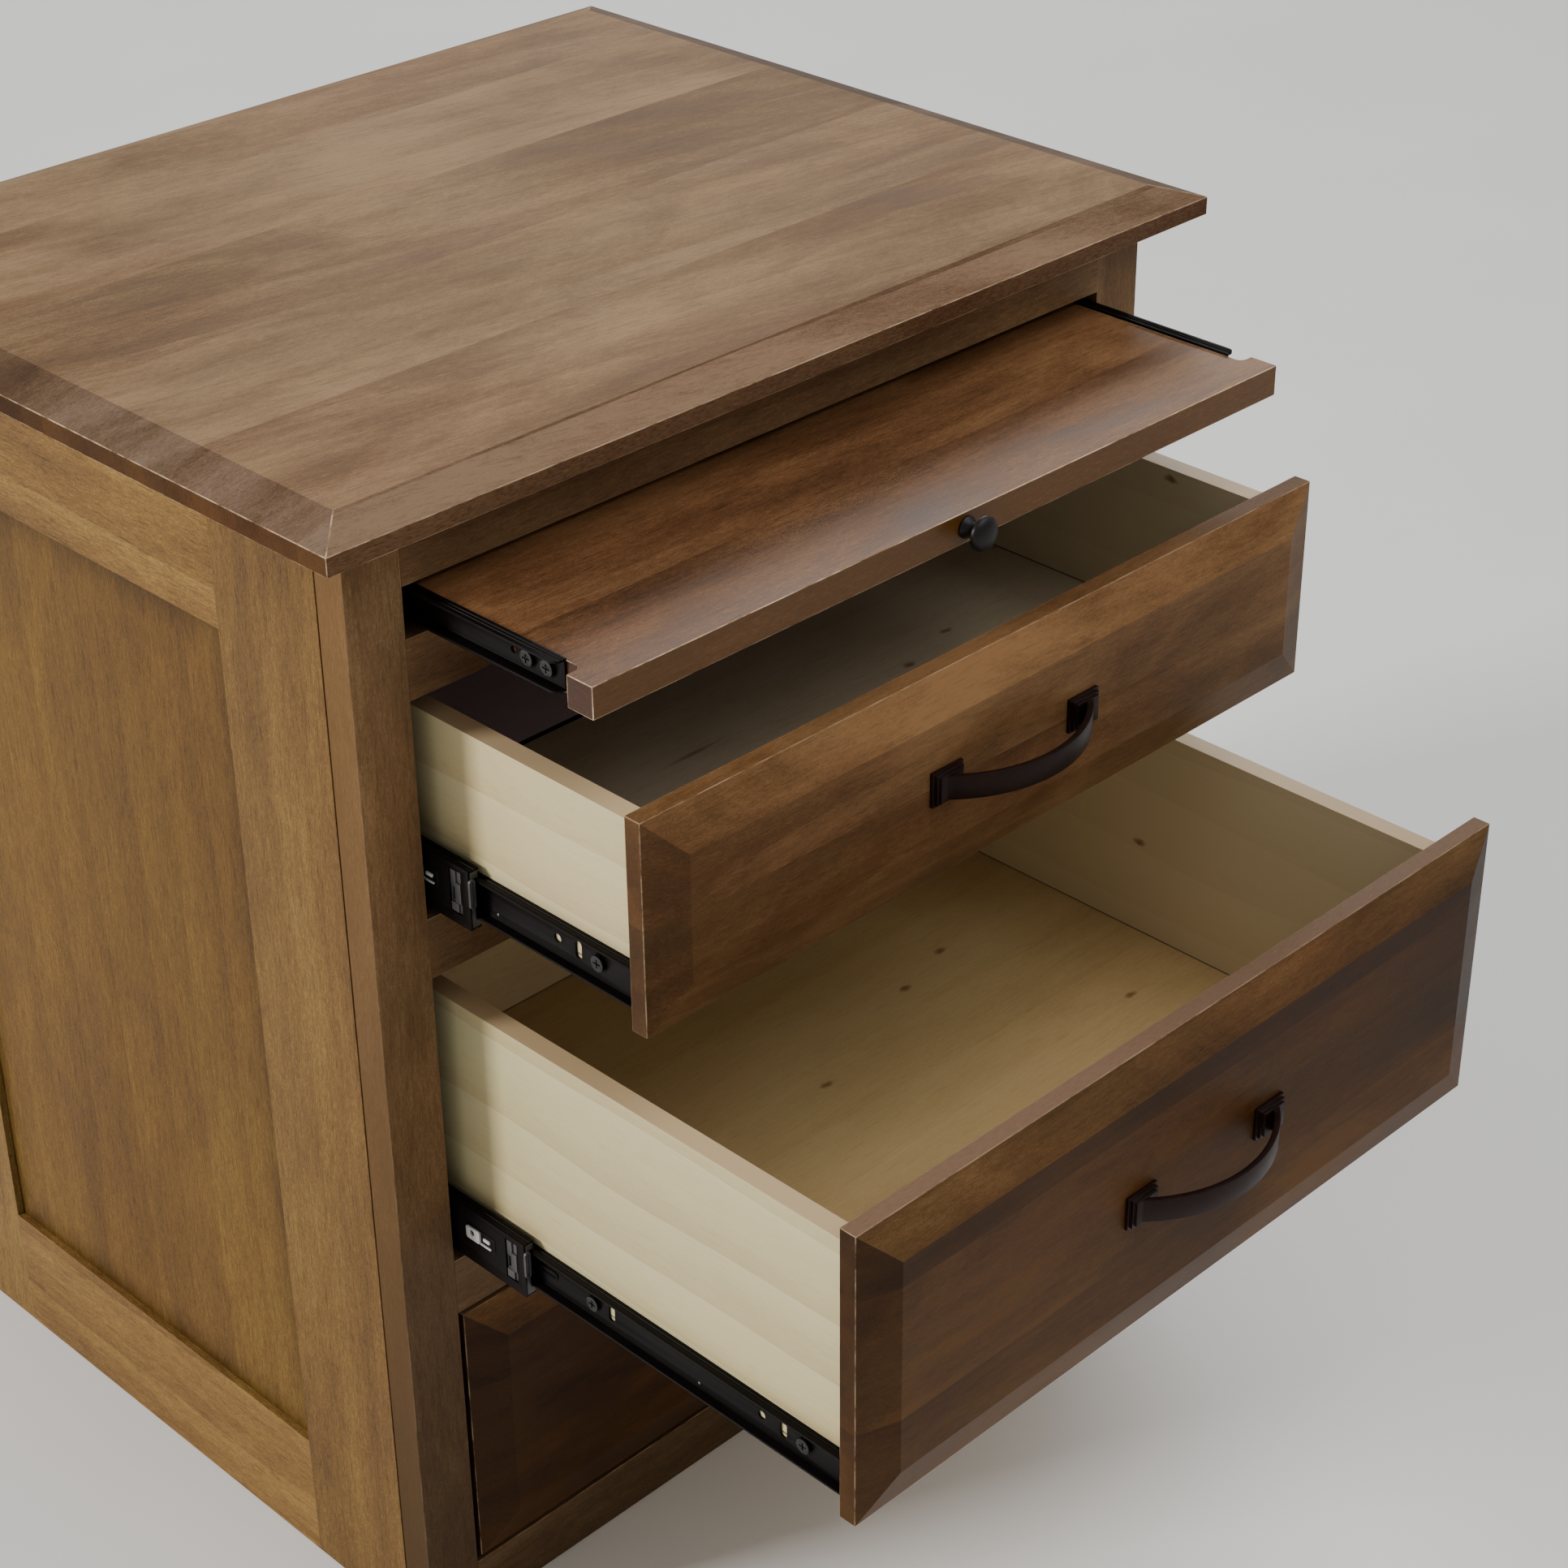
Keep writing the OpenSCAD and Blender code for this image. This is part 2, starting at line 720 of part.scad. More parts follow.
module lower_front() { drawer_front(LOWER); }
module lower_box_sides() { box_sides(LOWER); }
module lower_box_back() { box_back(LOWER); }
module lower_box_bottom() { box_bottom(LOWER); }
module lower_pull() { drawer_pull(LOWER); }
module lower_screws() { drawer_screws(LOWER); }
module lower_slide_members() { slide_members(LOWER); }
module lower_middle_members() { middle_members(LOWER); }
module lower_slide_stops() { slide_stops(LOWER); }
module lower_outer_cages() { outer_cages(LOWER); }
module lower_inner_cages() { inner_cages(LOWER); }

// ---------------------------------------------------------------- drawing

top_board();
back_panel();
bottom_board();
slide_battens();
face_stile_left();
face_stile_right();
face_rail_top();
face_rail_tray();
face_rail_middle();
face_rail_lower();
face_rail_base();
side_stiles_left();
side_rails_left();
side_panel_left();
side_stiles_right();
side_rails_right();
side_panel_right();
cabinet_slide_members();
cabinet_slide_screws();
tray_fixed_members();
tray_board();
tray_knob();
tray_knob_stud();
tray_slide_members();
tray_slide_screws();
tray_ball_cages();
upper_front();
upper_box_sides();
upper_box_back();
upper_box_bottom();
upper_pull();
upper_screws();
upper_slide_members();
upper_middle_members();
upper_slide_stops();
upper_outer_cages();
upper_inner_cages();
centre_front();
centre_box_sides();
centre_box_back();
centre_box_bottom();
centre_pull();
centre_screws();
centre_slide_members();
centre_middle_members();
centre_slide_stops();
centre_outer_cages();
centre_inner_cages();
lower_front();
lower_box_sides();
lower_box_back();
lower_box_bottom();
lower_pull();
lower_screws();
lower_slide_members();
lower_middle_members();
lower_slide_stops();
lower_outer_cages();
lower_inner_cages();
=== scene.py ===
import math

import bmesh
import bpy
from mathutils import Matrix, Vector
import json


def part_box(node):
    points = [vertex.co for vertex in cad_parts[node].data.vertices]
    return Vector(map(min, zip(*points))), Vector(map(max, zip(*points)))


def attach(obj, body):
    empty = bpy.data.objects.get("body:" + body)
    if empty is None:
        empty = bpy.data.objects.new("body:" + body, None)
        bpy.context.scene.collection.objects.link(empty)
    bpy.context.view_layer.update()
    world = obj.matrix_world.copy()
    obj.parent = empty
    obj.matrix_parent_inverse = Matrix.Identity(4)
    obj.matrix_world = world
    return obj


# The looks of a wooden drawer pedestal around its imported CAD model. Metres, in the CAD frame:
# +X across the front, the drawers open towards -Y, Z up from the floor.

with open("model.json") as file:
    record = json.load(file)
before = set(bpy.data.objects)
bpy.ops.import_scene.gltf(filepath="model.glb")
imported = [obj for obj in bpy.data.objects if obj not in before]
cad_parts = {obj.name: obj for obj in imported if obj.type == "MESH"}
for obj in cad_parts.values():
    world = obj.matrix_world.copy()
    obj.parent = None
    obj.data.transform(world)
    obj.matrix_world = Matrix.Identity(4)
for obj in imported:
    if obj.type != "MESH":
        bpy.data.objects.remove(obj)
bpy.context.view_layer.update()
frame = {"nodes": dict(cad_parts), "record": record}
NODES = frame["nodes"]
MM = 0.001
X, Y, Z = 0, 1, 2

# ------------------------------------------------------------------ material graphs


class Graph:
    """A short way to write a material's node tree."""

    def __init__(self, name):
        self.material = bpy.data.materials.new(name)
        self.material.use_nodes = True
        self.tree = self.material.node_tree
        self.tree.nodes.clear()
        out = self.tree.nodes.new("ShaderNodeOutputMaterial")
        self.shader = self.tree.nodes.new("ShaderNodeBsdfPrincipled")
        self.tree.links.new(self.shader.outputs[0], out.inputs[0])
        self.coords = self.node("TexCoord").outputs["Object"]

    def node(self, kind, inputs=(), **settings):
        n = self.tree.nodes.new("ShaderNode" + kind)
        for key, value in settings.items():
            setattr(n, key, value)
        for key, value in dict(inputs).items():
            self.plug(n.inputs[key], value)
        return n

    def plug(self, socket, value):
        """Links a node's first output or a socket, or sets a plain value."""
        if isinstance(value, bpy.types.Node):
            value = value.outputs[0]
        if isinstance(value, bpy.types.NodeSocket):
            self.tree.links.new(value, socket)
        else:
            socket.default_value = value

    def set(self, **values):
        """Values or links on the shader's own sockets; an underscore stands for a space."""
        for key, value in values.items():
            self.plug(self.shader.inputs[key.replace("_", " ")], value)

    def math(self, op, a, b=0.0):
        return self.node("Math", {0: a, 1: b}, operation=op)

    def place(self, axis):
        """The object coordinate along an axis."""
        return self.node("SeparateXYZ", {0: self.coords}).outputs[axis]

    def joined(self, x, y, z=0.0):
        return self.node("CombineXYZ", {0: x, 1: y, 2: z})

    def total(self, first, *terms):
        """first plus each (signal, weight) taken about the signal's middle of a half."""
        value = first
        for signal, weight in terms:
            part = self.node("Math", {0: signal, 1: weight, 2: -0.5 * weight}, operation="MULTIPLY_ADD")
            value = self.math("ADD", value, part)
        return value

    def mix(self, factor, a, b, blend="MIX"):
        """Colour b over colour a; either may be a linear r, g, b."""
        a, b = [(*c, 1.0) if isinstance(c, tuple) else c for c in (a, b)]
        n = self.node("Mix", data_type="RGBA", blend_type=blend)
        self.plug(n.inputs[0], factor)
        self.plug(n.inputs[6], a)
        self.plug(n.inputs[7], b)
        return n.outputs[2]

    def tinted(self, colour, tint):
        return self.mix(1.0, colour, tint, "MULTIPLY")

    def ramp(self, value, stops):
        """A colour ramp; each stop is (position, grey or rgb)."""
        n = self.node("ValToRGB", {0: value})
        e = n.color_ramp.elements
        while len(e) < len(stops):
            e.new(0.5)
        for item, (place, shade) in zip(e, stops):
            item.position = place
            item.color = (shade, shade, shade, 1.0) if isinstance(shade, float) else (*shade, 1.0)
        return n.outputs[0]

    def noise(self, where, scale, detail=3.0, rough=0.5, distort=0.0):
        return self.node("TexNoise", {"Vector": where, "Scale": scale, "Detail": detail,
                                      "Roughness": rough, "Distortion": distort}).outputs[0]

    def placed(self, scale=(1.0, 1.0, 1.0), offset=(0.0, 0.0, 0.0), base=None):
        return self.node("Mapping", {"Vector": base or self.coords, "Location": offset,
                                     "Scale": scale}).outputs[0]

    def bump(self, height, strength, distance):
        return self.node("Bump", {"Height": height, "Strength": strength, "Distance": distance})


def srgb(text):
    """A hex colour as linear r, g, b."""
    parts = [int(text[i:i + 2], 16) / 255 for i in (0, 2, 4)]
    return tuple(p / 12.92 if p <= 0.04045 else ((p + 0.055) / 1.055) ** 2.4 for p in parts)


def shades(text):
    return [srgb(t) for t in text.split()]


def glued_up(g, across, plank, seed, shift):
    """Coordinates that jump from one board to the next across the grain, and each board's own tone."""
    sway = g.math("MULTIPLY", g.noise(g.placed(offset=shift), 2.5, 1.0), 0.018)
    place = g.math("ADD", g.math("ADD", g.place(across), sway), 5.0 + seed * 0.013)
    index = g.math("FLOOR", g.math("DIVIDE", place, plank))
    tone = g.node("TexWhiteNoise", {"W": g.math("ADD", index, seed * 1.7)},
                  noise_dimensions="1D").outputs[0]
    far = g.math("MULTIPLY", tone, 7.0)
    jump = g.node("VectorMath", {0: g.coords, 1: g.joined(far, far, far)}, operation="ADD")
    return jump.outputs[0], tone


def knot_marks(g, grain, across, seed):
    """How much of a round knot, or of a thin dark flame along the grain, lies at a point."""
    bent = g.math("MULTIPLY", g.noise(g.coords, 220.0, 2.0), 0.004)
    for_knots = g.joined(g.math("MULTIPLY", g.place(grain), 0.5), g.math("ADD", g.place(across), bent))
    for_flames = g.joined(g.math("MULTIPLY", g.place(grain), 0.10),
                          g.math("ADD", g.place(across), 0.013 * seed))
    spots = g.node("TexVoronoi", {"Vector": for_knots, "Scale": 17.0, "Randomness": 1.0},
                   voronoi_dimensions="2D")
    flames = g.node("TexVoronoi", {"Vector": for_flames, "Scale": 15.0, "Randomness": 1.0},
                    voronoi_dimensions="2D")
    kept = g.ramp(g.node("TexWhiteNoise", {"Vector": spots.outputs[2]}).outputs[0],
                  [(0.66, 0.0), (0.67, 1.0)])
    knot = g.ramp(spots.outputs[0], [(0.0, 1.0), (0.022, 0.7), (0.045, 0.0)])
    flame = g.ramp(flames.outputs[0], [(0.0, 0.8), (0.014, 0.5), (0.03, 0.0)])
    return g.math("MAXIMUM", g.math("MULTIPLY", knot, kept), flame)


def painted_frame_shade(g, low, high, reach, patches):
    """Painted shade: a lightness that falls, unevenly, towards the edges of a panel's box, where its
    frame shades it.
    """
    near = None
    for axis in (Y, Z):
        for edge, sign in ((low[axis], 1.0), (high[axis], -1.0)):
            gap = g.math("MULTIPLY", g.math("SUBTRACT", g.place(axis), edge), sign)
            near = gap if near is None else g.math("MINIMUM", near, gap)
    near = g.math("ADD", g.math("DIVIDE", near, reach), g.math("MULTIPLY", patches, 0.6))
    return g.ramp(near, [(0.28, 0.52), (0.62, 0.80), (1.0, 1.0)])


def wood(name, grain, across, colours, seed, plank=0.0, plank_tone=0.3, band=0.4, blotch=0.5,
         figure=0.2, fine=1.0, rough=0.42, coat=0.12, shine=0.4, tint=0.35, slant=0.0, wear=1.0,
         worn=None, knots=None, hem=None, ends=(0.875, 0.75), rim=None, inner=None, fade=None,
         lift=None, groove=None):
    """Stained close-grained wood. grain and across are axes and colours run from light to dark.
    The rest of the look is optional; a share is a lightness or an r, g, b to multiply by.

    plank = the width of the boards glued up across the grain, plank_tone = how much they differ
    band, blotch, figure, fine = strength of broad streaks, stain clouds, growth rings and fibres
    rough, coat, shine, tint = roughness, clear coat, specular level and uneven warmth
    slant = the angle that turns the fibres against the boards
    worn = the colour of a rubbed edge, wear = how much of the edge it covers
    knots = the colour of knots and dark flames
    hem = (box, reach) paints shade on a panel, darker along its frame
    ends = (share of a face cut askew across the grain, share of end grain)
    rim = (axis, colour) of the faces that look along an axis
    inner = the colour of faces turned towards X 0, which alone get the knots; it is paler than the wood,
    painted light for the shade inside a box fade = (height, share) paints shade on the wood below a
    height, darker down to that share at the floor lift = (axis, sign, share, share) paints light and
    shade by facing: the share of a bevel turned that way and of a face straight that way groove = the
    height of a dark line round the inside of a box"""
    g = Graph(name)
    shift = (seed * 1.37, seed * 2.11, seed * 0.73)
    base, tone = glued_up(g, across, plank, seed, shift) if plank else (g.coords, None)
    if slant:
        turned = [0.0, 0.0, 0.0]
        turned[3 - grain - across] = slant
        base = g.node("Mapping", {"Vector": base, "Rotation": turned}).outputs[0]

    def along(squeeze, extra=0.0):
        """Coordinates squeezed along the grain, so that noise draws out into fibres."""
        scale = [squeeze if axis == grain else 1.0 for axis in range(3)]
        return g.placed(scale, [s + extra for s in shift], base)

    streaks = g.noise(along(0.13), 26.0, 4.0, 0.6, 0.5)
    patches = g.noise(along(0.42, 12.4), 17.0, 6.0, 0.68, 0.6)
    cloud = g.noise(along(0.50, 8.9), 4.0, 3.0, 0.55, 0.6)
    rings = g.node("TexWave", {"Vector": along(0.12, 3.1), "Scale": 9.0, "Distortion": 7.0,
                               "Detail": 3.0, "Detail Scale": 1.2, "Detail Roughness": 0.5},
                   bands_direction="XYZ"[across], wave_profile="SAW").outputs[1]
    lines = g.noise(along(0.10, 1.7), 330.0, 4.0, 0.65)
    fibre = g.noise(along(0.16, 6.2), 1300.0, 3.0, 0.65)
    grit = g.noise(along(0.45, 2.9), 1700.0, 2.0, 0.6)
    pores = g.noise(along(0.08, 5.3), 760.0, 2.0, 0.5)

    # Stain: boards, streaks and clouds down to single fibres, then warmth and dark pores
    terms = [(streaks, 1.1 * band), (patches, blotch), (cloud, 0.9 * blotch), (rings, 0.22 * figure),
             (lines, 0.26 * fine), (fibre, 0.52 * fine), (grit, 0.42 * fine)]
    if tone is not None:
        terms.append((tone, plank_tone))
    light, middle, dark = colours
    colour = g.ramp(g.total(0.5, *terms), [(0.20, dark), (0.50, middle), (0.80, light)])
    warm = g.ramp(g.noise(along(0.30, 20.0), 7.0, 3.0, 0.6, 0.4),
                  [(0.34, (1.08, 0.96, 0.92)), (0.66, (0.93, 1.02, 1.0))])
    colour = g.mix(tint, colour, g.tinted(colour, warm))
    colour = g.mix(0.38 * fine, colour, g.ramp(pores, [(0.30, 0.35), (0.45, 1.0)]), "MULTIPLY")

    # Faces by the way they look: end grain and edges in their own colour, and painted light and shade by
    # the way a face turns
    facing = g.node("SeparateXYZ", {0: g.node("TexCoord").outputs["Normal"]})
    slope = g.math("ABSOLUTE", facing.outputs[grain])
    askew, end_grain = ends
    colour = g.tinted(colour, g.ramp(slope, [(0.08, 1.0), (0.18, askew), (0.45, askew),
                                             (0.90, end_grain)]))
    if rim is not None:
        axis, paint = rim
        flat = g.ramp(g.math("ABSOLUTE", facing.outputs[axis]), [(0.70, 0.0), (0.80, 1.0)])
        colour = g.mix(flat, colour, g.mix(g.math("MULTIPLY", fibre, 0.6), paint, colour))
    # Painted light: faces turned towards X 0 made paler
    if inner is not None:
        inside = g.math("LESS_THAN", g.math("MULTIPLY", facing.outputs[X], g.place(X)), -0.05)
        colour = g.mix(inside, colour, g.mix(0.4, inner, colour))
    # Painted light and shade: a face lighter or darker by the way it turns
    if lift is not None:
        axis, sign, share, straight_share = lift
        turn = g.math("MULTIPLY", facing.outputs[axis], sign)
        colour = g.tinted(colour, g.ramp(turn, [(0.05, 1.0), (0.10, share), (0.45, share),
                                                (0.80, straight_share)]))

    # By the place on the board: a dark line at a box's floor, painted shade low down and along a panel's
    # frame, knots and rubbed edges
    if groove is not None:
        away = g.math("ABSOLUTE", g.math("SUBTRACT", g.place(Z), groove + 0.3 * MM))
        colour = g.tinted(colour, g.ramp(g.math("DIVIDE", away, MM), [(0.35, 0.25), (0.75, 1.0)]))
    # Painted shade, darker towards the floor
    if fade is not None:
        height, share = fade
        rise = g.math("DIVIDE", g.place(Z), height)
        colour = g.tinted(colour, g.ramp(rise, [(0.1, share), (1.0, 1.0)]))
    # Painted shade along the frame round a panel
    if hem is not None:
        (low, high), reach = hem
        colour = g.tinted(colour, painted_frame_shade(g, low, high, reach, patches))
    if knots is not None:
        mark = knot_marks(g, grain, across, seed)
        if inner is not None:
            mark = g.math("MULTIPLY", mark, inside)
        colour = g.mix(g.math("MULTIPLY", mark, 0.85), colour, knots)
    if worn is not None:
        patch = g.ramp(g.noise(along(0.6, 2.2), 90.0, 4.0, 0.65), [(0.38, 0.10), (0.58, 1.0)])
        colour = g.mix(g.math("MULTIPLY", patch, wear), colour, worn)

    g.set(Base_Color=colour, Coat_Weight=coat, Coat_Roughness=0.34, Specular_IOR_Level=shine,
          Roughness=g.ramp(g.total(0.5, (fibre, 0.5), (patches, 0.8)),
                           [(0.3, rough - 0.06), (0.7, rough + 0.08)]),
          Normal=g.bump(g.total(0.5, (fibre, 0.7), (pores, 0.5), (grit, 0.3)), 0.16, 0.4 * MM))
    return g.material


def coated_steel(name, colour, wear, rough=0.34, metallic=0.35, grime=0.6, specular=0.5):
    """Black electroplated or painted steel: slightly uneven, with lighter rubbed patches."""
    g = Graph(name)
    drawn = g.noise(g.placed((1.0, 0.06, 1.0)), 300.0, 3.0, 0.6)
    cloud = g.noise(g.placed(), 35.0, 4.0, 0.6)
    speck = g.noise(g.placed(), 900.0, 2.0, 0.5)
    value = g.total(0.5, (drawn, 0.5), (cloud, grime), (speck, 0.3))
    g.set(Base_Color=g.ramp(value, [(0.3, colour), (0.75, wear)]), Metallic=metallic,
          Specular_IOR_Level=specular,
          Roughness=g.ramp(value, [(0.25, rough), (0.8, rough + 0.16)]),
          Normal=g.bump(g.total(0.5, (speck, 0.5), (drawn, 0.5)), 0.06, 0.2 * MM))
    return g.material


def plastic(name, colour, light, rough=0.45):
    """Plastic or paper between two colours, slightly cloudy."""
    g = Graph(name)
    cloud = g.noise(g.placed(), 60.0, 3.0, 0.6)
    speck = g.noise(g.placed(), 1400.0, 2.0, 0.6)
    g.set(Base_Color=g.ramp(g.total(0.5, (cloud, 0.7), (speck, 0.3)), [(0.25, colour), (0.8, light)]),
          Roughness=g.ramp(cloud, [(0.3, rough - 0.05), (0.7, rough + 0.08)]),
          Normal=g.bump(speck, 0.05, 0.1 * MM))
    return g.material


# The stains, from light to dark. Some are copies painted lighter or darker, as painted light and shade
# on their parts.
TOP = shades("947859 6b5033 3f281b")
TRAY = shades("896340 67452a 3f2a19")
SIDE = shades("836a3a 674c29 46321e")
RAIL = shades("907541 71542d 4d3720")
PANEL = shades("7a602d 60451f 412d15")
FRONT = shades("826140 5b4026 392513")
# Painted shade: the lower fronts' stain is a darker copy of the upper front's, for the light that falls
# on those fronts
FRONT_LOW_SHADED = shades("5b3d1c 40270e 261405")
STILE = shades("a1815f 775c40 513a2c")
BIRCH = shades("cdc19c bfb286 a68d65")
# Painted light: the box backs are paler than the birch of the box sides, for the shade inside the
# drawers
BOX_BACK_LIT = shades("f6e8c6 ecdab2 cdb083")
TAN = shades("d8c08f c5a876 a18253")
# Painted light: the upper drawer's floor is a lighter, greyer copy of the floor stain, for the shade
# under the tray
TAN_UPPER_LIT = shades("e0d5bd ccbc9e a59071")

# Faces, edges and knots of their own colour, and painted light on the faces inside the drawer boxes and
# on the lower fronts' tops
WORN = srgb("d8bc98")
RIM = srgb("c6a783")
STILE_RIM = srgb("5d411b")
TOP_RIM = srgb("3f2215")
TRAY_RIM = srgb("513204")
# Painted light on the top and bottom faces of the lower fronts
FRONT_TOP_LIGHT = srgb("896e5a")
INNER_LIGHT = srgb("f3e3bf")
KNOT = srgb("6b3d14")

STEEL = coated_steel("slide_steel", srgb("050303"), srgb("110c0b"), 0.36, 0.1, specular=0.11)
ZINC = coated_steel("zinc_steel", srgb("7d7c7a"), srgb("c9c7c2"), 0.28, 0.95, 0.8)
SCREW = coated_steel("dark_screw", srgb("171716"), srgb("434240"), 0.22, 0.85, 0.8)
BRONZE = coated_steel("dark_bronze", srgb("110604"), srgb("28130c"), 0.36, 0.2, specular=0.18)
SMOKE = plastic("stop_plastic", srgb("2a2929"), srgb("4d4b4b"))
PALE = plastic("pale_plastic", srgb("a5a3a1"), srgb("d5d3cf"))
LABEL = plastic("label_paper", srgb("d3bcc3"), srgb("e2ccd2"), 0.7)
# Painted shadow: the dark strip along the label's front edge
LABEL_EDGE_SHADOW = plastic("label_edge_shadow", srgb("150a08"), srgb("20110d"), 0.7)
BLACK = coated_steel("knob_black", srgb("0b0909"), srgb("1b1717"), 0.32, 0.3, specular=0.35)

# Looks that several boards share
INSIDE = dict(blotch=0.2, coat=0.05)
# The face frame gets painted shade, darker towards the floor below the drawers
FACE = dict(blotch=0.5, coat=0.0, shine=0.06, fine=0.7, fade=(0.60, 0.45))
OUTSIDE = dict(blotch=0.5, coat=0.0, shine=0.06)
SIDE_FRAME = dict(OUTSIDE, wear=0.1, fine=1.2, tint=0.15)
RAIL_WIDTH = 78 * MM
# How far the painted shade on a side panel reaches from its frame
FRAME_SHADE_REACH = 30 * MM
HANDS = ("left", "right")
DRAWERS = ("upper", "centre", "lower")

# Each board's grain axis, the axis across it, its stain and the rest of its look
WOOD = {
    # The top's front bevel and end-grain bevels are painted darker than its stain: painted shade, beside
    # the end grain's own darker tone
    "top_board": (X, Y, TOP, dict(
        plank=0.095, plank_tone=0.42, band=0.35, blotch=0.75, coat=0.0, wear=0.6, shine=0.05, rough=0.50,
        slant=0.14, fine=0.8, rim=(Y, TOP_RIM), ends=((0.62, 0.66, 0.86), (0.26, 0.18, 0.09)),
        lift=(Y, -1.0, (0.80, 0.80, 0.92), 1.0))),
    "tray_board": (X, Y, TRAY, dict(
        plank=0.082, plank_tone=0.22, band=0.5, blotch=0.9, coat=0.03, shine=0.25, rough=0.42, fine=1.2,
        rim=(Y, TRAY_RIM), ends=(0.70, (0.30, 0.18, 0.02)))),
    "back_panel": (Z, X, BIRCH, INSIDE),
    "bottom_board": (X, Y, BIRCH, INSIDE),
    "slide_battens": (Y, Z, BIRCH, INSIDE),
}
for rail in ("top", "tray", "middle", "lower", "base"):
    WOOD["face_rail_" + rail] = (X, Z, STILE, dict(FACE, wear=0.3))
for hand in HANDS:
    # The part of the side panel that shows between its frame's stiles and rails
    low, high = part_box("side_rails_" + hand)
    shown = ((0, low.y, low.z + RAIL_WIDTH), (0, high.y, high.z - RAIL_WIDTH))
    WOOD["face_stile_" + hand] = (Z, X, STILE, dict(FACE, wear=0.12, rim=(X, STILE_RIM)))
    WOOD["side_stiles_" + hand] = (Z, Y, SIDE, dict(SIDE_FRAME, plank=0.41, plank_tone=0.1))
    WOOD["side_rails_" + hand] = (Y, Z, RAIL, dict(SIDE_FRAME, figure=0.6))
    # The side panel gets painted shade along its stiles and rails, in the recess at its frame
    WOOD["side_panel_" + hand] = (Z, Y, PANEL, dict(OUTSIDE, band=0.18, figure=0.3, tint=0.3, fine=1.1,
                                                    hem=(shown, FRAME_SHADE_REACH)))
for drawer in DRAWERS:
    floor_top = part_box(drawer + "_box_bottom")[1].z
    # The fronts' upturned bevels and tops get painted light, and the lower fronts a darker copy of the
    # stain as painted shade
    if drawer == "upper":
        front_stain_and_shade, floor_stain_and_light, own = FRONT, TAN_UPPER_LIT, dict(lift=(Z, 1.0, 1.25, 0.95))
    else:
        front_stain_and_shade, floor_stain_and_light = FRONT_LOW_SHADED, TAN
        own = dict(lift=(Z, 1.0, (2.3, 2.8, 4.4), 1.0), rim=(Z, FRONT_TOP_LIGHT))
    WOOD[drawer + "_front"] = (X, Z, front_stain_and_shade, dict(
        own, plank=0.074, plank_tone=0.25, blotch=0.8, tint=1.0, coat=0.0, shine=0.08, fine=0.6,
        ends=(0.8, (0.6, 0.56, 0.45)), wear=0.32))
    WOOD[drawer + "_box_sides"] = (Y, Z, BIRCH, dict(
        band=0.20, blotch=0.15, figure=0.9, coat=0.0, wear=0.2, fine=0.25, rim=(Z, RIM), inner=INNER_LIGHT,
        knots=KNOT, groove=floor_top))
    WOOD[drawer + "_box_back"] = (X, Z, BOX_BACK_LIT, dict(blotch=0.3, coat=0.0, fine=0.4, groove=floor_top))
    WOOD[drawer + "_box_bottom"] = (X, Y, floor_stain_and_light, dict(band=0.3, blotch=0.35, coat=0.0, knots=KNOT,
                                                            fine=0.4))

# ------------------------------------------------------------------ CAD nodes: edges and materials

WELD = 0.002 * MM
WOOD_EDGE = 0.35 * MM
EDGE_SLOT = 1
SHARP, MITRED = 40.0, 2.0
SHORTEST_EASED = 2.5 * MM
LEAST_MITRE = 10 * MM
METAL_SHARP = 35.0
BODY_OF = {n: b for b, ns in frame["record"]["behaviour"]["bodies"].items() for n in ns}
SLOT_OF = {s["node"]: s["material_slot"] for s in frame["record"]["subparts"]}


def corner(point):
    return tuple(round(c, 6) for c in point)


def sharp_edges(mesh, angle):
    """The mesh's edges sharper than an angle, each as a pair of corners."""
    bm = bmesh.new()
    bm.from_mesh(mesh)
    bmesh.ops.remove_doubles(bm, verts=bm.verts, dist=WELD)
    found = set()
    for edge in bm.edges:
        if len(edge.link_faces) == 2 and edge.calc_face_angle(0.0) > math.radians(angle):
            found.add(frozenset(corner(v.co) for v in edge.verts))
    bm.free()
    return found


def mark_edges(mesh, keep):
    """Bevel weights: 1 on every long edge that passes keep and is sharp, or is the light line where
    the bevels of the top meet in a mitre."""
    sharp, slight = sharp_edges(mesh, SHARP), sharp_edges(mesh, MITRED)
    weights = []
    for edge in mesh.edges:
        ends = [mesh.vertices[i].co for i in edge.vertices]
        run = ends[0] - ends[1]
        mitre = abs(run.x) > LEAST_MITRE and abs(run.y) > LEAST_MITRE
        found = frozenset(corner(p) for p in ends) in (slight if mitre else sharp)
        wanted = run.length > SHORTEST_EASED and found and keep(ends)
        weights.append(1.0 if wanted else 0.0)
    mesh.attributes.new("bevel_weight_edge", "FLOAT", "EDGE").data.foreach_set("value", weights)


def standing_free(node):
    """A test for edges that do not lie against another board of the same body."""
    slack = 0.05 * MM
    others = [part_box(n) for n in WOOD if n != node and BODY_OF[n] == BODY_OF[node]]

    def keep(ends):
        middle = (ends[0] + ends[1]) / 2
        return not any(all(low[i] - slack <= middle[i] <= high[i] + slack for i in range(3))
                       for low, high in others)
    return keep


def repaint(obj, paints, smooth):
    """New materials on a CAD node, without the normals it came with."""
    layer = obj.data.attributes.get("custom_normal")
    if layer:
        obj.data.attributes.remove(layer)
    obj.data.materials.clear()
    for paint in paints:
        obj.data.materials.append(paint)
    for polygon in obj.data.polygons:
        polygon.use_smooth = smooth
    obj.modifiers.new("weld", "WELD").merge_threshold = WELD


